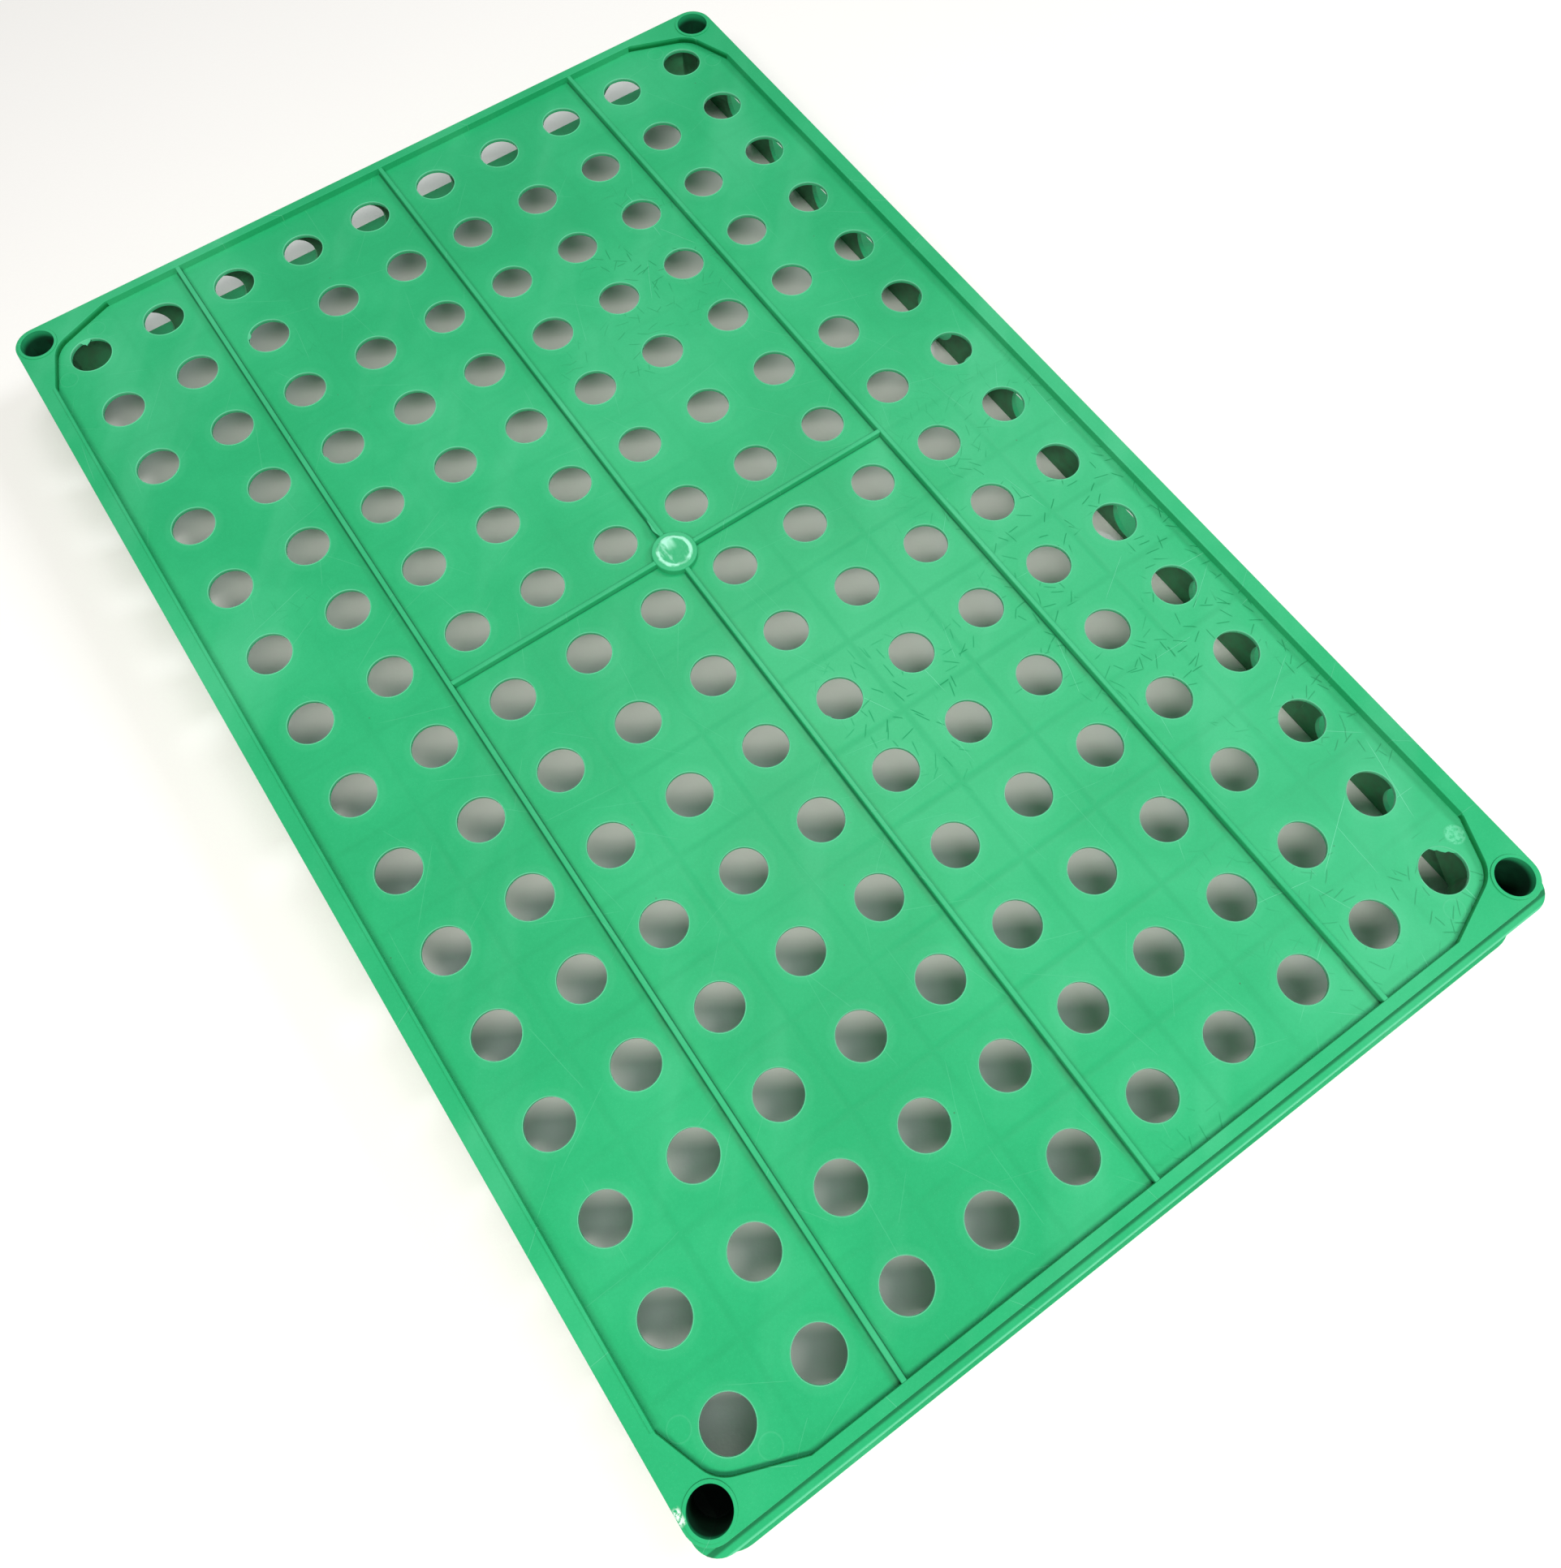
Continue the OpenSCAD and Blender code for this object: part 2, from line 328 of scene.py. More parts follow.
class Finish:
    """A material under construction; x, y and z are the place on the tray in metres"""

    def __init__(self, name):
        self.material = bpy.data.materials.new(name)
        self.material.use_nodes = True
        self.tree = self.material.node_tree
        self.tree.nodes.clear()
        self.start = Wire(self.tree)
        self.place = self.start.node("ShaderNodeTexCoord", output=3)
        self.x, self.y, self.z = (self.part(self.place, axis) for axis in range(3))

    def part(self, vector, axis):
        """One component of a vector"""
        return self.start.node("ShaderNodeSeparateXYZ", {}, {0: vector}, output=axis)

    def foot_line(self, rib, before, after, across=True):
        """1 at the two feet of a rib, fading out over the given widths"""
        low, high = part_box(rib)
        if across:
            place, start, end, run, first, last = self.x, low.x, high.x, self.y, low.y, high.y
        else:
            place, start, end, run, first, last = self.y, low.y, high.y, self.x, low.x, high.x
        ahead = place.rise(start - before, start - before * 0.2) * place.fall(start, end)
        behind = place.fall(end + after * 0.2, end + after) * place.rise(start, end)
        return ahead.highest(behind) * run.rise(first - MM, first) * run.fall(last, last + MM)

    def strokes(self, per_metre, half_length, half_width, keep):
        """Short straight scratches, one to a cell and each in its own direction"""
        settings = {"voronoi_dimensions": "2D"}
        inputs = {"Vector": self.place, "Scale": per_metre, "Randomness": 1.0}
        chance = self.start.node("ShaderNodeTexVoronoi", settings, inputs, output=1)
        centre = self.start.node("ShaderNodeTexVoronoi", settings, inputs, output=2)
        draw, angle = self.part(chance, 0), self.part(chance, 1) * (2 * math.pi)
        waver = (self.place.speckle(120.0, detail=1.0) - 0.5) * (4 * half_width)
        from_x, from_y = self.x - self.part(centre, 0), self.y - self.part(centre, 1)
        cosine, sine = self.start.maths("COSINE", angle), self.start.maths("SINE", angle)
        across = abs(from_y * cosine - from_x * sine + waver)
        along = abs(from_x * cosine + from_y * sine)
        body = across.fall(half_width * 0.4, half_width)
        body = body * along.fall(half_length * 0.6, half_length)
        return body * draw.rise(keep, keep + 0.02)

    def finish(self, colour, roughness, height, depth):
        """Joins the surface's colour, roughness and height to its shader"""
        bump = self.start.node(
            "ShaderNodeBump", {}, {"Strength": 1.0, "Distance": depth, "Height": height}
        )
        inputs = {"Base Color": colour, "Roughness": roughness, "Normal": bump, "IOR": PLASTIC_IOR}
        shader = self.start.node("ShaderNodeBsdfPrincipled", {}, inputs)
        output = self.tree.nodes.new("ShaderNodeOutputMaterial")
        self.tree.links.new(shader.socket, output.inputs["Surface"])
        return self.material


def rgb(colour):
    """A property's colour with full alpha"""
    return (*colour, 1.0)


# ---------------------------------------------------------------- materials


def plastic_tones(f, colours):
    """The moulding's cloudy colour, before any marks: colour and the clouds behind it"""
    clouds = f.place.speckle(9.0, detail=4.0, roughness=0.6)
    grain = f.place.speckle(900.0, detail=2.0)
    fleck = f.place.speckle(2600.0, detail=1.0)
    wiped = f.place.turned(40.0).speckle(30.0, detail=3.0, squash=(1.0, 0.22, 1.0))
    deep = clouds.fall(0.30, 0.62) * 0.26 + grain.fall(0.35, 0.65) * 0.08
    light = clouds.rise(0.45, 0.75) * 0.10 + fleck.rise(0.60, 0.80) * 0.10
    light = light + wiped.rise(0.52, 0.72) * 0.09
    tone = deep.mix(rgb(colours.moulding), rgb(colours.deep))
    return light.mix(tone, rgb(colours.pale)), clouds, grain


def hole_places(f, sizes):
    """How far a place is from the nearest hole's centre, and from the lines midway
    between columns and between rows of holes"""
    across = f.x / sizes.pitch_across + (sizes.holes_across - 1) / 2
    along = f.y / sizes.pitch_along + (sizes.holes_along - 1) / 2
    from_hole_x = ((across + 0.5).fraction() - 0.5) * sizes.pitch_across
    from_hole_y = ((along + 0.5).fraction() - 0.5) * sizes.pitch_along
    between_x = abs((across.fraction() - 0.5) * sizes.pitch_across)
    between_y = abs((along.fraction() - 0.5) * sizes.pitch_along)
    return from_hole_x.hypot(from_hole_y), between_x, between_y


def sink_lines(f, between_x, between_y, wander):
    """Faint lines over the lattice below, clearest in the near half"""
    width = (0.3 * MM, 2.2 * MM)
    line = (between_x + wander).fall(*width).highest((between_y + wander).fall(*width))
    uneven = f.place.speckle(14.0, detail=2.0).rise(0.35, 0.65)
    return line * (uneven * 0.6 + 0.4) * (f.y.fall(-0.10, 0.08) * 0.65 + 0.35)


def wear(f):
    """Long pale scratches everywhere, and short dark scuffs most of all at the near right"""
    worn = (f.x.rise(0.06, 0.14) * f.y.fall(-0.06, 0.06)).highest(
        f.place.speckle(6.0, detail=1.0).rise(0.60, 0.70)
    )
    scratches = f.strokes(28.0, 19.0 * MM, 0.13 * MM, 0.45).highest(
        f.strokes(41.0, 13.0 * MM, 0.10 * MM, 0.55)
    )
    scuffs = f.strokes(150.0, 3.4 * MM, 0.30 * MM, 0.35).highest(
        f.strokes(121.0, 4.0 * MM, 0.26 * MM, 0.50)
    )
    patches = f.place.speckle(24.0, detail=1.0).rise(0.45, 0.53)
    return scratches * (worn * 0.75 + 0.25), scuffs * worn * patches


def weld_lines(f):
    """Lines that wander away from the gate, where two fronts of plastic met"""
    from_gate = (f.x - GATE.x).hypot(f.y - GATE.y)
    flow = f.place.speckle(11.0, detail=3.0, roughness=0.65)
    return flow.bump_at(0.5, 0.02) * from_gate.rise(0.02, 0.06) * 0.5


def ejector_marks(f):
    """Round marks beside the corner holes: the rough one at the near right, and every edge"""
    first, second = ((abs(f.x) - x).hypot(abs(f.y) - y) for x, y in EJECTOR_PLACES)
    rough = first.fall(EJECTOR_RADIUS - 0.5 * MM, EJECTOR_RADIUS + 0.1 * MM)
    rough = rough * f.x.rise(0.0, 0.01) * f.y.fall(-0.01, 0.0)
    rough = rough * f.place.speckle(700.0, detail=2.0).rise(0.30, 0.60)
    width = 0.45 * MM
    edge = first.bump_at(EJECTOR_RADIUS, width).highest(second.bump_at(EJECTOR_RADIUS, width))
    return rough, edge


def rib_feet(f):
    """Painted shade: a dark line along both feet of every rib, wider on the long ribs' low x side;
    and a patchy brownish band outside the long ribs, in the near half
    """
    lines = [f.foot_line(rib, 0.6 * MM, 0.6 * MM, across=False) for rib in CROSS_RIBS]
    lines += [f.foot_line(rib, 1.1 * MM, 0.5 * MM) for rib in LONG_RIBS]
    rib_bands = [f.foot_line(rib, 3.2 * MM, 0.3 * MM) for rib in LONG_RIBS]
    line, rib_band = lines[0].highest(*lines[1:]), rib_bands[0].highest(*rib_bands[1:])
    broken = f.place.speckle(110.0, detail=2.0).rise(0.20, 0.50) * 0.4 + 0.6
    patchy = f.place.speckle(70.0, detail=3.0).rise(0.34, 0.62)
    return line * broken, rib_band * f.y.fall(-0.22, 0.10) * patchy


def base_material():
    """Top of the perforated base: sink lines, halos round the holes, scuffs, dark specks, a
    brownish band beside the long ribs, painted shade at the ribs' feet and painted sheen at the
    near right
    """
    sizes, colours = bpy.context.scene.tray_sizes, bpy.context.scene.tray_colours
    f = Finish("green_base")
    tone, clouds, grain = plastic_tones(f, colours)
    from_hole, between_x, between_y = hole_places(f, sizes)
    wander = (f.place.speckle(60.0, detail=2.0) - 0.5) * (1.2 * MM)
    sink = sink_lines(f, between_x, between_y, wander)
    edge = sizes.hole_radius
    halo = (from_hole + wander * 0.4).fall(edge + 1.85 * MM, edge + 4.05 * MM)
    rim_of_hole = from_hole.fall(edge + 0.15 * MM, edge + 1.25 * MM)
    scratches, scuffs = wear(f)
    weld = weld_lines(f)
    rough_mark, mark_edge = ejector_marks(f)
    line, rib_band = rib_feet(f)
    # Painted sheen: the near right of the base made paler
    near_right_sheen = f.x.rise(0.02, 0.14) * f.y.fall(-0.24, -0.10)
    specks = f.place.node(
        "ShaderNodeTexVoronoi", {}, {"Vector": f.place, "Scale": 55.0, "Randomness": 1.0}
    ).fall(0.010, 0.022)

    colour = (sink * 0.17 + weld * 0.08 + scuffs * 0.80).mix(tone, rgb(colours.deep))
    pale = halo * 0.04 + rim_of_hole * 0.03 + scratches * 0.65 + rough_mark * 0.45
    pale = pale + mark_edge * 0.08 + near_right_sheen * 0.11
    colour = pale.mix(colour, rgb(colours.pale))
    # Dark specks, and a patchy brownish band beside the long ribs in the near half
    colour = (specks * 0.6 + rib_band * 0.30).mix(colour, rgb(colours.grime_and_shade))
    # Painted shade: a dark line at the feet of every rib
    colour = (line * 0.80).mix(colour, RIB_FOOT_SHADE)

    roughness = 0.36 + clouds * 0.12 + scuffs * 0.15 + sink * 0.05 + line * 0.2
    height = halo * 0.35 - sink * 0.55 - scuffs * 0.5 - scratches * 0.4 - weld * 0.25
    height = height + clouds * 1.4 + grain * 0.05 + mark_edge * 0.5 + rough_mark * 0.6
    return f.finish(colour, roughness, height, 0.12 * MM)


def ledge_shade_and_highlight(f, high):
    """Painted shade in the angle between rim and ledge, and a painted highlight along the ledge's
    outer edge
    """
    band_edge, ledge_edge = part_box("rim_far")[1].y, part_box("ledge_far")[1].y
    out = abs(f.y)
    ledge_shade = out.rise(band_edge - 0.5 * MM, band_edge)
    ledge_shade = ledge_shade * out.fall(band_edge + 1.2 * MM, band_edge + 2.1 * MM)
    ledge_shade = ledge_shade * f.z.fall(BASE_HIGH.z + 0.2 * MM, BASE_HIGH.z + 1.4 * MM)
    edge = out.rise(ledge_edge - 0.9 * MM, ledge_edge - 0.4 * MM)
    return ledge_shade * high, edge * high


def knock_mark(f, high):
    """White knock on the outer edge beside the near left socket"""
    x, y = KNOCK_PLACE
    mark = abs(f.x - x).fall(0.5 * MM, 1.7 * MM) * abs(f.y - y).fall(1.2 * MM, 3.4 * MM)
    return mark * f.place.speckle(650.0, detail=3.0).rise(0.40, 0.56) * high


def inside_walls(f):
    """1 on the inner faces of the walls, below the base"""
    wall_x, wall_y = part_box("wall_right")[0].x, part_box("wall_far")[0].y
    inside = abs(f.x).fall(wall_x, wall_x + 0.5 * MM) * abs(f.y).fall(wall_y, wall_y + 0.5 * MM)
    return inside * f.z.fall(BASE_LOW.z - MM, BASE_LOW.z)


def inside_sockets(f):
    """1 in a socket, fading out at its mouth"""
    from_socket = (abs(f.x) - SOCKET_X).hypot(abs(f.y) - SOCKET_Y)
    inside = from_socket.fall(SOCKET_RADIUS - 0.05 * MM, SOCKET_RADIUS + 0.25 * MM)
    inside = inside * f.z.fall(BASE_HIGH.z - MM, BASE_HIGH.z + 2.6 * MM)
    return inside * f.z.rise(SOCKET_FLOOR - 0.3 * MM, SOCKET_FLOOR - 0.1 * MM)


def moulded_material(name, lift=0.0):
    """Plain moulded plastic with scuffs, splashes near the floor, painted shade inside the walls,
    in the sockets and in the angle under the rim, and a painted highlight on the ledge's outer
    edge; lift makes all of it paler
    """
    colours = bpy.context.scene.tray_colours
    f = Finish(name)
    tone, clouds, grain = plastic_tones(f, colours)
    scuff = f.strokes(38.0, 12.0 * MM, 0.12 * MM, 0.50)
    streak = f.place.speckle(35.0, detail=2.0, squash=(1.0, 1.0, 4.0)).rise(0.5, 0.8)
    splash = f.z.fall(0.0, 6.0 * MM) * f.place.speckle(90.0).rise(0.40, 0.75)
    shade_mottle = f.place.speckle(160.0, detail=4.0).rise(0.35, 0.70)
    high = f.z.rise(BASE_HIGH.z - 7.0 * MM, BASE_HIGH.z - 3.0 * MM)
    ledge_shade, edge = ledge_shade_and_highlight(f, high)
    walls, sockets = inside_walls(f), inside_sockets(f)

    colour = (streak * 0.07 + scuff * 0.35 + lift).mix(tone, rgb(colours.pale))
    # Painted highlight: the ledge's outer edge made paler
    colour = (edge * 0.45).mix(colour, rgb(colours.pale))
    # Painted shade: the angle between rim and ledge made darker
    colour = (ledge_shade * 0.75).mix(colour, LEDGE_ANGLE_SHADE)
    colour = (knock_mark(f, high) * 0.9).mix(colour, KNOCKED)
    # Splashes near the floor, and painted shade on the inner faces of the walls, made uneven by a
    # mottle
    colour = (splash * 0.18 + walls * (0.50 + shade_mottle * 0.2)).mix(colour, rgb(colours.grime_and_shade))
    # Painted shade: the sockets' bores made almost black
    colour = (sockets * (0.97 - shade_mottle * 0.05)).mix(colour, SOCKET_SHADE)

    roughness = 0.35 + clouds * 0.12 + scuff * 0.2 + sockets * 0.3 + walls * 0.15
    height = clouds * 0.8 + grain * 0.10 - scuff * 0.5
    return f.finish(colour, roughness, height, 0.10 * MM)


def underside_material():
    """Matt, finely textured plastic of the mould's other half"""
    colours = bpy.context.scene.tray_colours
    f = Finish("green_under")
    tone, clouds, grain = plastic_tones(f, colours)
    colour = (clouds.rise(0.4, 0.7) * 0.15 + 0.12).mix(tone, rgb(colours.deep))
    return f.finish(colour, 0.52 + grain * 0.15, grain + clouds * 0.5, 0.08 * MM)


def scar_material():
    """Torn, paler plastic where the sprue broke off: palest in a ring"""
    colours = bpy.context.scene.tray_colours
    f = Finish("green_scar")
    tone = plastic_tones(f, colours)[0]
    torn = f.place.speckle(420.0, detail=4.0, roughness=0.7)
    out = (f.x - GATE.x).hypot(f.y - GATE.y) + (torn - 0.5) * (1.6 * MM)
    broken = f.place.speckle(95.0, detail=2.0).rise(0.36, 0.50) * 0.75 + 0.25
    ring = out.bump_at(6.8 * MM, 1.1 * MM) * broken
    tear = f.place.speckle(260.0, detail=3.0, squash=(1.0, 0.35, 1.0)).rise(0.50, 0.60)
    flap = ((f.y - GATE.y) / (6.0 * MM)).rise(0.0, 0.8)
    flap = flap * abs(f.x - GATE.x).fall(1.0 * MM, 3.0 * MM)
    colour = (ring * 0.95 + tear * 0.45 + flap * 0.75 + 0.06).mix(tone, TORN)
    return f.finish(colour, 0.34 + torn * 0.30, torn, 0.20 * MM)


def floor_material():
    """Plain pale floor with the faintest unevenness"""
    colours = bpy.context.scene.tray_colours
    f = Finish("pale_floor")
    cloud = f.place.speckle(3.0, detail=3.0)
    grain = f.place.speckle(600.0, detail=2.0)
    darker = [c * 0.97 for c in colours.floor]
    colour = (cloud * 0.6 + grain * 0.3).mix(rgb(colours.floor), rgb(darker))
    return f.finish(colour, 0.62 + grain * 0.1, grain, 0.05 * MM)


# ---------------------------------------------------------------- shapes


def add_piece(name, bm, material, smooth_up_to=35.0):
    """Makes a mesh object from bm, riding on the tray's one body"""
    mesh = bpy.data.meshes.new(name)
    bm.normal_update()
    bm.to_mesh(mesh)
    bm.free()
    mesh.shade_smooth()
    mesh.set_sharp_from_angle(angle=math.radians(smooth_up_to))
    piece = bpy.data.objects.new(name, mesh)
    bpy.context.scene.collection.objects.link(piece)
    piece.data.materials.append(material)
    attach(piece, BODY)
    return piece


def surfaces():
    """A search tree for every CAD node, to find where regions touch"""
    trees = {}
    for name, node in frame["nodes"].items():
        bm = bmesh.new()
        bm.from_mesh(node.data)
        trees[name] = BVHTree.FromBMesh(bm)
        bm.free()
    return trees


def is_free(point, own, trees):
    """True if no other region touches this point"""
    for name, tree in trees.items():
        if name != own and tree.find_nearest(point, CONTACT)[0] is not None:
            return False
    return True


def rounded_copy(node, trees, widths):
    """A copy of a CAD node with its free sharp edges rounded.

    widths lists (lowest z, width): an edge takes the width of the last
    entry that it lies above."""
    bm = bmesh.new()
    bm.from_mesh(frame["nodes"][node].data)
    bmesh.ops.remove_doubles(bm, verts=bm.verts, dist=SAME_POINT)
    bmesh.ops.dissolve_limit(bm, angle_limit=FLAT, verts=bm.verts, edges=bm.edges)
    groups = {}
    for edge in bm.edges:
        if len(edge.link_faces) != 2 or edge.calc_face_angle_signed() < SHARP:
            continue
        middle = (edge.verts[0].co + edge.verts[1].co) / 2
        if is_free(middle, node, trees):
            width = [w for z, w in widths if middle.z >= z][-1]
            groups.setdefault(width, []).append(edge)
    for width in sorted(groups, reverse=True):
        edges = [e for e in groups[width] if e.is_valid]
        bmesh.ops.bevel(
            bm,
            geom=edges,
            offset=width,
            offset_type="OFFSET",
            segments=3,
            profile=0.5,
            affect="EDGES",
            clamp_overlap=True,
        )
    return bm


def replace_nodes(prefix, material, widths):
    """Puts a rounded copy in place of every CAD node whose name starts with prefix"""
    trees = surfaces()
    for node in sorted(frame["nodes"]):
        if node.startswith(prefix):
            piece = add_piece(node + "_moulded", rounded_copy(node, trees, widths), material)
            piece.modifiers.new("even_shading", "WEIGHTED_NORMAL").keep_sharp = True
            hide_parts(node)


def hole_centres():
    """Every hole's centre on the base: column by column from the left, each from the far end"""
    sizes = bpy.context.scene.tray_sizes
    for i in range(sizes.holes_across):
        for j in range(sizes.holes_along):
            yield Vector(
                (
                    (i - (sizes.holes_across - 1) / 2) * sizes.pitch_across,
                    ((sizes.holes_along - 1) / 2 - j) * sizes.pitch_along,
                    BASE_HIGH.z,
                )
            )


def ring(bm, centre, profile, segments):
    """Adds a closed ring whose cross-section is profile, as (radius, height) points"""
    turns = []
    for k in range(segments):
        t = 2 * math.pi * k / segments
        turns.append(
            [
                bm.verts.new(centre + Vector((r * math.cos(t), r * math.sin(t), z)))
                for r, z in profile
            ]
        )
    for k in range(segments):
        here, there = turns[k], turns[(k + 1) % segments]
        for m in range(len(profile)):
            n = (m + 1) % len(profile)
            bm.faces.new((here[m], there[m], there[n], here[n]))


# ---------------------------------------------------------------- operators


class TrayStep(bpy.types.Operator):
    """Shared by the tray's operators"""

    bl_options = {"REGISTER", "UNDO"}


class TRAY_OT_base(TrayStep):
    """Finish the perforated base and add the rounded lip round every hole"""

    bl_idname = "tray.base"
    bl_label = "Base"

    LIP_SEGMENTS = 40

    def execute(self, context):
        self.dress("base_plate", base_material())
        self.dress("underside_lattice", underside_material())
        profile = self.lip_profile(context.scene.tray_sizes)
        bm = bmesh.new()
        for centre in hole_centres():
            ring(bm, centre, profile[::-1], self.LIP_SEGMENTS)
        lips = add_piece("hole_lips", bm, moulded_material("green_lip", 0.50))
        if not lips.data.polygons:
            raise RuntimeError("the holes have no lips")
        return {"FINISHED"}

    def dress(self, node, material):
        """Gives a CAD node its material"""
        materials = frame["nodes"][node].data.materials
        materials.clear()
        materials.append(material)

    def lip_profile(self, sizes):
        """Cross-section of a lip, from inside the hole over the top, as (radius, height)"""
        inner, outer = sizes.hole_radius - 0.03 * MM, sizes.hole_radius + sizes.lip_width
        middle, top, corner = (inner + outer) / 2, sizes.lip_height, 0.12 * MM
        return [
            (inner, -2.5 * top),
            (inner, top * 0.25),
            (inner + corner, top * 0.8),
            (middle, top),
            (outer - corner, top * 0.55),
            (outer, -0.15 * top),
        ]


class TRAY_OT_rim(TrayStep):
    """Round the free edges of the rim and of the corners"""

    bl_idname = "tray.rim"
    bl_label = "Rim and corners"

    def execute(self, context):
        edge = context.scene.tray_sizes.edge_round
        bead = BASE_HIGH.z + 3.0 * MM
        widths = [(LOWEST, edge), (bead, edge * 0.45)]
        material = moulded_material("green_rim")
        replace_nodes("rim", material, widths)
        replace_nodes("corner", material, widths)
        return {"FINISHED"}


class TRAY_OT_walls(TrayStep):
    """Round the free edges of the walls, of the flange at their foot and of the ledges"""

    bl_idname = "tray.walls"
    bl_label = "Walls, foot and ledges"

    def execute(self, context):
        edge = context.scene.tray_sizes.edge_round
        widths, worn = [(LOWEST, edge)], [(LOWEST, edge * 1.3)]
        replace_nodes("wall", moulded_material("green_wall"), widths)
        replace_nodes("foot", moulded_material("green_foot", 0.02), widths)
        replace_nodes("ledge", moulded_material("green_ledge"), worn)
        return {"FINISHED"}


class TRAY_OT_ribs(TrayStep):
    """Round the ribs on the base"""

    bl_idname = "tray.ribs"
    bl_label = "Ribs"

    def execute(self, context):
        edge = context.scene.tray_sizes.edge_round
        material = moulded_material("green_rib", 0.05)
        for prefix in ("long_rib", "centre_rib", "cross_rib"):
            replace_nodes(prefix, material, [(LOWEST, edge)])
        return {"FINISHED"}


class TRAY_OT_gate(TrayStep):
    """Round the gate's disc and add the scar of the broken sprue"""

    bl_idname = "tray.gate"
    bl_label = "Gate"

    SCAR_RADIUS = 7.9 * MM
    SCAR_RINGS = 34
    SCAR_SEGMENTS = 96
    # How much of a ring's width stays open in the middle, where one flat face closes it
    OPEN_MIDDLE = 0.35

    def execute(self, context):
        edge = context.scene.tray_sizes.edge_round
        replace_nodes("gate", moulded_material("green_gate", 0.08), [(LOWEST, edge)])
        add_piece("gate_scar", self.scar(), scar_material(), 60.0)
        return {"FINISHED"}

    def scar(self):
        """A dense disc over the gate, with the outer edge sunk into it"""
        bm = bmesh.new()
        rows = []
        for k in range(self.SCAR_RINGS + 1):
            r = self.SCAR_RADIUS * (k + self.OPEN_MIDDLE) / (self.SCAR_RINGS + self.OPEN_MIDDLE)
            row = []
            for n in range(self.SCAR_SEGMENTS):
                turn = 2 * math.pi * n / self.SCAR_SEGMENTS
                spot = Vector((r * math.cos(turn), r * math.sin(turn), 0.0))
                spot.z = self.scar_height(spot, r, turn) if k < self.SCAR_RINGS else -0.05 * MM
                row.append(bm.verts.new(GATE + spot))
            rows.append(row)
        for inner, outer in zip(rows, rows[1:]):
            for n in range(self.SCAR_SEGMENTS):
                m = (n + 1) % self.SCAR_SEGMENTS
                bm.faces.new((inner[n], outer[n], outer[m], inner[m]))
        bm.faces.new(rows[0])
        return bm

    def scar_height(self, spot, r, turn):
        """Height of the torn plastic: a broken ring, a rough floor and a torn flap behind"""
        torn = noise.fractal(spot * 420.0, 0.7, 2.1, 4)
        broken = 0.55 + 0.45 * noise.noise(Vector((3 * math.cos(turn), 3 * math.sin(turn), 2.0)))
        ring = math.exp(-(((r - (6.9 + 0.35 * torn) * MM) / (0.5 * MM)) ** 2)) * broken
        flap = max(0.0, math.cos(turn - math.radians(75))) ** 14 * min(1.0, r / (3 * MM))
        flap *= 1.0 if r < 6.6 * MM else 0.0
        return (0.05 + 0.50 * ring + 0.10 * (torn + 0.5) * (r < 6.4 * MM) + 0.35 * flap) * MM


class TRAY_OT_flash(TrayStep):
    """Add the thin flash and torn tabs at the edges of a few holes"""

    bl_idname = "tray.flash"
    bl_label = "Flash"

    # The hole's column from the left and row from the far end, start and end of the tab
    # in degrees, and its width in millimetres
    TABS = (
        (0, 0, 70, 100, 1.7),
        (2, 1, 135, 160, 0.9),
        (2, 3, 180, 205, 0.9),
        (9, 6, 270, 300, 1.0),
        (9, 14, 14, 78, 1.5),
        (5, 9, 200, 216, 0.5),
        (7, 12, 30, 48, 0.5),
    )

    def execute(self, context):
        sizes = context.scene.tray_sizes
        centres = list(hole_centres())
        bm = bmesh.new()
        for i, j, start, end, width in self.TABS:
            centre = centres[i * sizes.holes_along + j]
            self.add_tab(bm, centre, sizes.hole_radius, start, end, width)
        self.add_sliver(bm)
        bmesh.ops.recalc_face_normals(bm, faces=bm.faces)
        add_piece("hole_flash", bm, moulded_material("green_flash", 0.25), 50.0)
        return {"FINISHED"}

    def add_sliver(self, bm):
        """Adds the torn sliver along the centre rib, just behind the gate"""
        low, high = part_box("centre_rib_far")
        steps, loops = 12, []
        for k in range(steps + 1):
            t = k / steps
            width = max(0.06, math.sin(math.pi * t) ** 0.8) * 1.1 * MM
            spot = Vector((low.x + 0.15 * MM, low.y + (0.5 + 10.5 * t) * MM, high.z - 0.35 * MM))
            reach, lift = width * (1.0 + 0.3 * math.sin(7 * t)), 0.35 * MM * math.sin(5 * t)
            bend = Vector((-reach, 0.0, lift))
            thick = Vector((0.0, 0.0, 0.25 * MM))
            corners = (spot + thick, spot + bend + thick, spot + bend, spot)
            loops.append([bm.verts.new(corner) for corner in corners])
        self.join(bm, loops)

    def join(self, bm, loops):
        """Closes a row of four-cornered sections into a solid"""
        for here, there in zip(loops, loops[1:]):
            for m in range(4):
                n = (m + 1) % 4
                bm.faces.new((here[m], there[m], there[n], here[n]))
        bm.faces.new(loops[0][::-1])
        bm.faces.new(loops[-1])

    def add_tab(self, bm, centre, radius, start, end, width):
        """Adds a crescent that reaches from the hole's edge over the hole"""
        steps, loops = 18, []
        for k in range(steps + 1):
            t = k / steps
            turn = math.radians(start + (end - start) * t)
            ragged = 1.0 + 0.35 * noise.noise(Vector((9 * t, start, width)))
            reach = max(0.08, math.sin(math.pi * t) ** 0.7 * ragged) * width * MM
            droop = -0.5 * reach
            outer, inner = radius + 0.25 * MM, radius - reach
            corners = ((outer, 0.12 * MM), (inner, droop), (inner, droop - 0.22 * MM))
            corners += ((outer, -0.60 * MM),)
            way = Vector((math.cos(turn), math.sin(turn), 0.0))
            loops.append([bm.verts.new(centre + way * r + Vector((0, 0, z))) for r, z in corners])
        self.join(bm, loops)


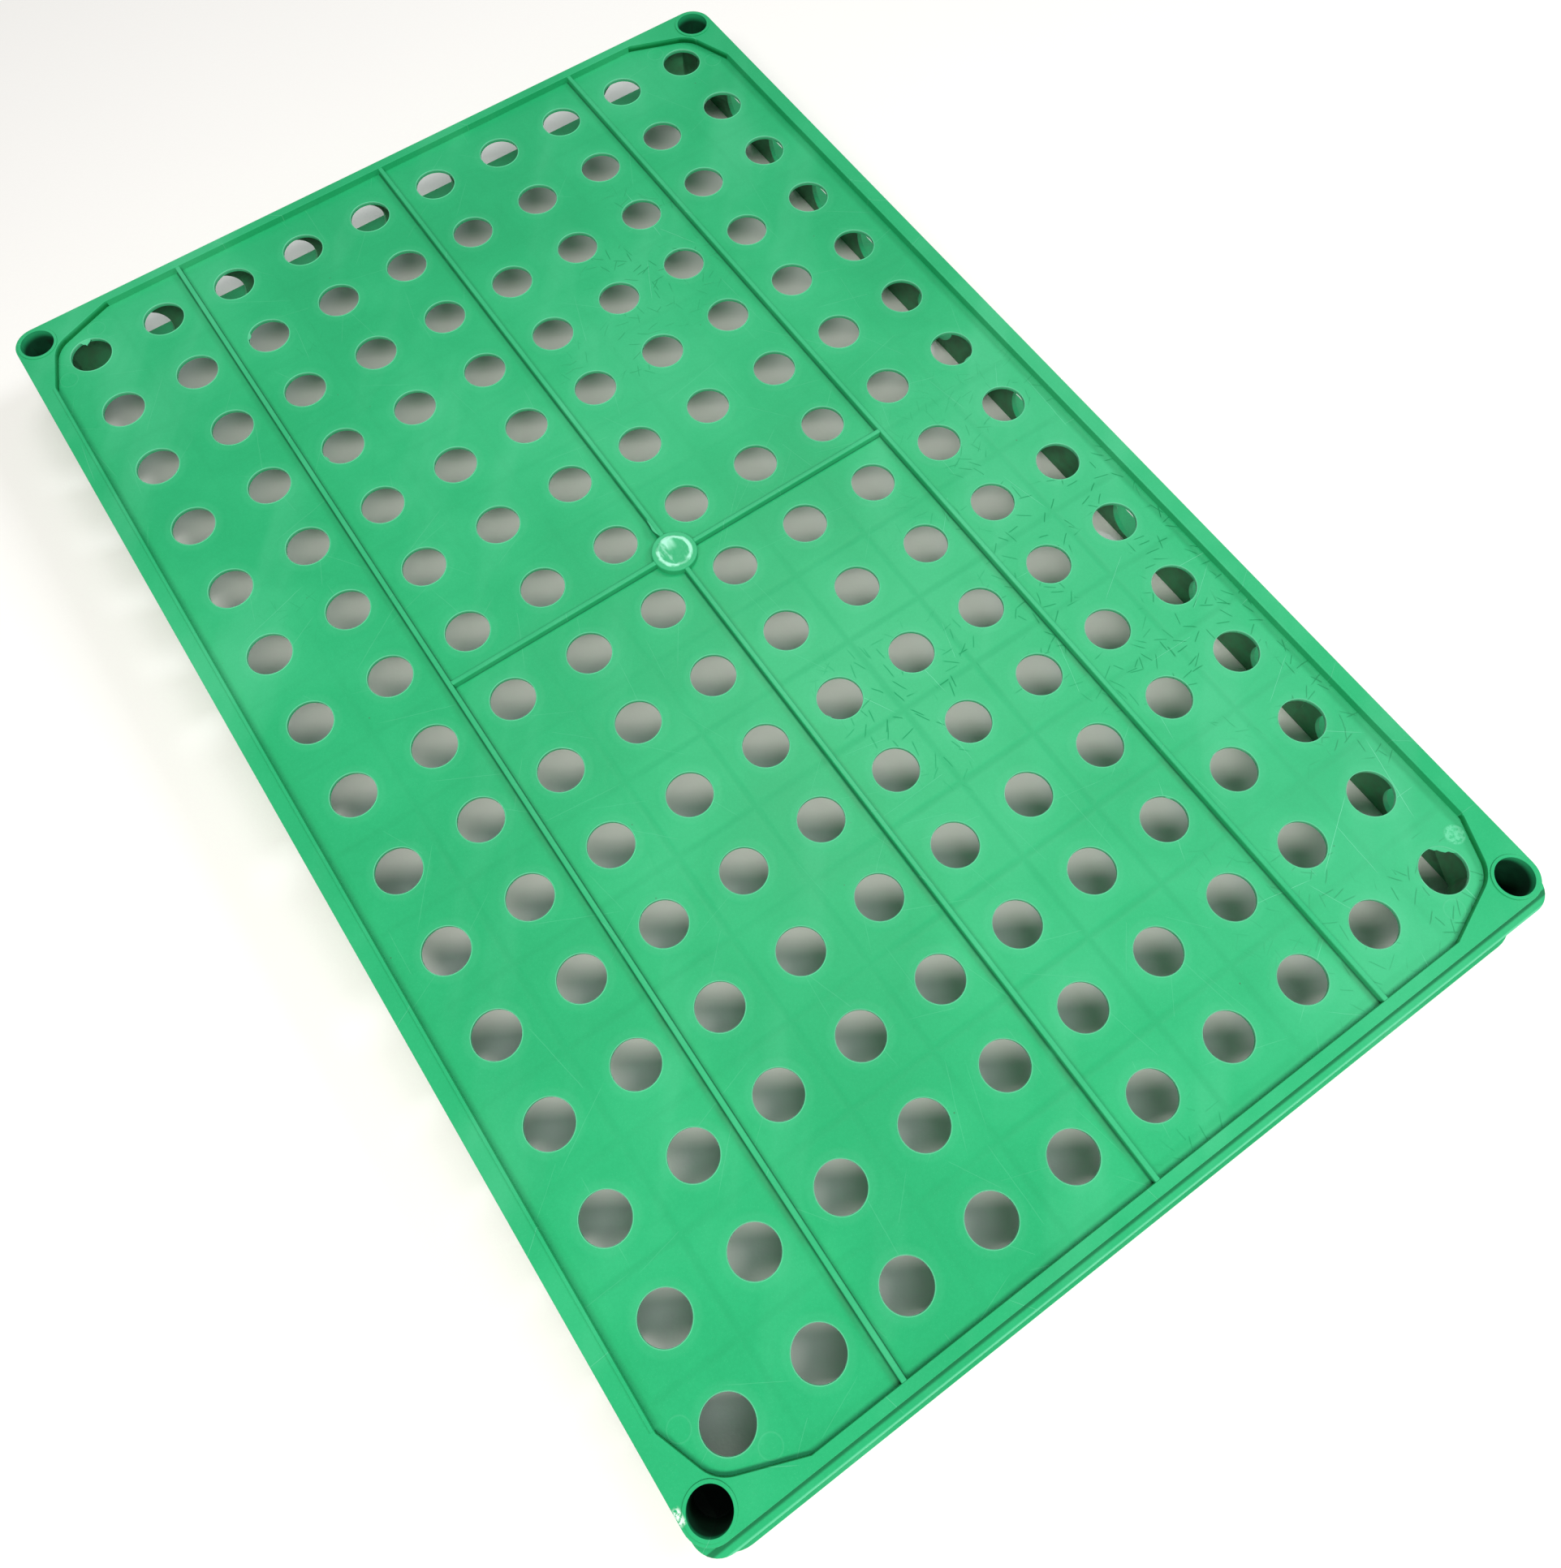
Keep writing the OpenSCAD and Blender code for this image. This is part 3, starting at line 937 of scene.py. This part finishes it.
class TRAY_OT_stage(TrayStep):
    """Floor, lights, room and camera"""

    bl_idname = "tray.stage"
    bl_label = "Stage"

    # Name, place, width and depth, colour, and whether shiny surfaces mirror it
    LIGHTS = (
        ("main", (-0.45, -0.75, 1.42), (1.5, 0.30), (1.0, 0.97, 0.93), False),
        ("ceiling", (0.47, 0.40, 1.55), (0.55, 0.55), (1.0, 1.0, 1.0), True),
        ("side", (1.90, -0.35, 1.70), (0.7, 0.7), (0.90, 0.94, 1.0), False),
    )
    ROOM_COLOUR = (0.93, 0.97, 1.0, 1.0)
    FLOOR_REACH = 4.0
    EYE = (-0.1082, -0.2263, BASE_HIGH.z + 0.4170)
    LOOK = (0.19215, 0.30151, -0.93390)
    ROLL = math.radians(-2.33)

    def execute(self, context):
        scene, studio = context.scene, context.scene.tray_studio
        scene.view_settings.view_transform = "Standard"
        self.add_floor()
        room = bpy.data.worlds.new("room")
        room.use_nodes = True
        sky = room.node_tree.nodes["Background"]
        sky.inputs["Color"].default_value = self.ROOM_COLOUR
        sky.inputs["Strength"].default_value = studio.room_light
        scene.world = room
        powers = (studio.main_power, studio.ceiling_power, studio.side_power)
        for light, power in zip(self.LIGHTS, powers):
            self.add_light(*light, power)
        self.add_camera(studio.lens)
        return {"FINISHED"}

    def add_floor(self):
        """Adds a wide floor at the foot of the tray"""
        bm = bmesh.new()
        bmesh.ops.create_grid(bm, x_segments=12, y_segments=12, size=self.FLOOR_REACH)
        mesh = bpy.data.meshes.new("floor")
        bm.to_mesh(mesh)
        bm.free()
        floor = bpy.data.objects.new("floor", mesh)
        floor.location.z = CAD_LOW.z
        floor.data.materials.append(floor_material())
        bpy.context.scene.collection.objects.link(floor)

    def add_light(self, name, place, size, colour, mirrored, power):
        """Adds a soft light that points at the middle of the tray, long side across"""
        lamp = bpy.data.lights.new(name, "AREA")
        lamp.shape = "RECTANGLE"
        lamp.size, lamp.size_y = size
        lamp.color = colour
        lamp.energy = power
        light = bpy.data.objects.new(name, lamp)
        light.location = place
        light.visible_glossy = mirrored
        light.rotation_euler = (-light.location).to_track_quat("-Z", "Y").to_euler()
        bpy.context.scene.collection.objects.link(light)

    def add_camera(self, lens):
        """Stands over the near left part of the tray and looks down towards the middle"""
        camera = bpy.data.objects.new("camera", bpy.data.cameras.new("camera"))
        camera.data.lens = lens
        camera.data.clip_start = 0.01
        turn = Vector(self.LOOK).to_track_quat("-Z", "Y").to_matrix().to_4x4()
        roll = Matrix.Rotation(self.ROLL, 4, "Z")
        camera.matrix_world = Matrix.Translation(self.EYE) @ turn @ roll
        bpy.context.scene.collection.objects.link(camera)
        bpy.context.scene.camera = camera


class TRAY_PT_panel(bpy.types.Panel):
    """The tray's steps and settings"""

    bl_label = "Tray"
    bl_space_type = "VIEW_3D"
    bl_region_type = "UI"
    bl_category = "Tray"

    def draw(self, context):
        layout, scene = self.layout, context.scene
        for step in STEPS:
            layout.operator(step.bl_idname)
        for group in (scene.tray_sizes, scene.tray_colours, scene.tray_studio):
            box = layout.box()
            for name in type(group).__annotations__:
                box.prop(group, name)


GROUPS = {"tray_sizes": TraySizes, "tray_colours": TrayColours, "tray_studio": TrayStudio}
STEPS = (
    TRAY_OT_base,
    TRAY_OT_rim,
    TRAY_OT_walls,
    TRAY_OT_ribs,
    TRAY_OT_gate,
    TRAY_OT_flash,
    TRAY_OT_stage,
)


def register():
    for name, group in GROUPS.items():
        bpy.utils.register_class(group)
        setattr(bpy.types.Scene, name, PointerProperty(type=group))
    for step in STEPS:
        bpy.utils.register_class(step)
    bpy.utils.register_class(TRAY_PT_panel)


def unregister():
    bpy.utils.unregister_class(TRAY_PT_panel)
    for step in reversed(STEPS):
        bpy.utils.unregister_class(step)
    for name, group in GROUPS.items():
        delattr(bpy.types.Scene, name)
        bpy.utils.unregister_class(group)


def main():
    register()
    for thing in [o for o in bpy.data.objects if o.name in ("Cube", "Light", "Camera")]:
        bpy.data.objects.remove(thing)
    bpy.ops.tray.base()
    bpy.ops.tray.rim()
    bpy.ops.tray.walls()
    bpy.ops.tray.ribs()
    bpy.ops.tray.gate()
    bpy.ops.tray.flash()
    bpy.ops.tray.stage()


if __name__ == "__main__":
    main()
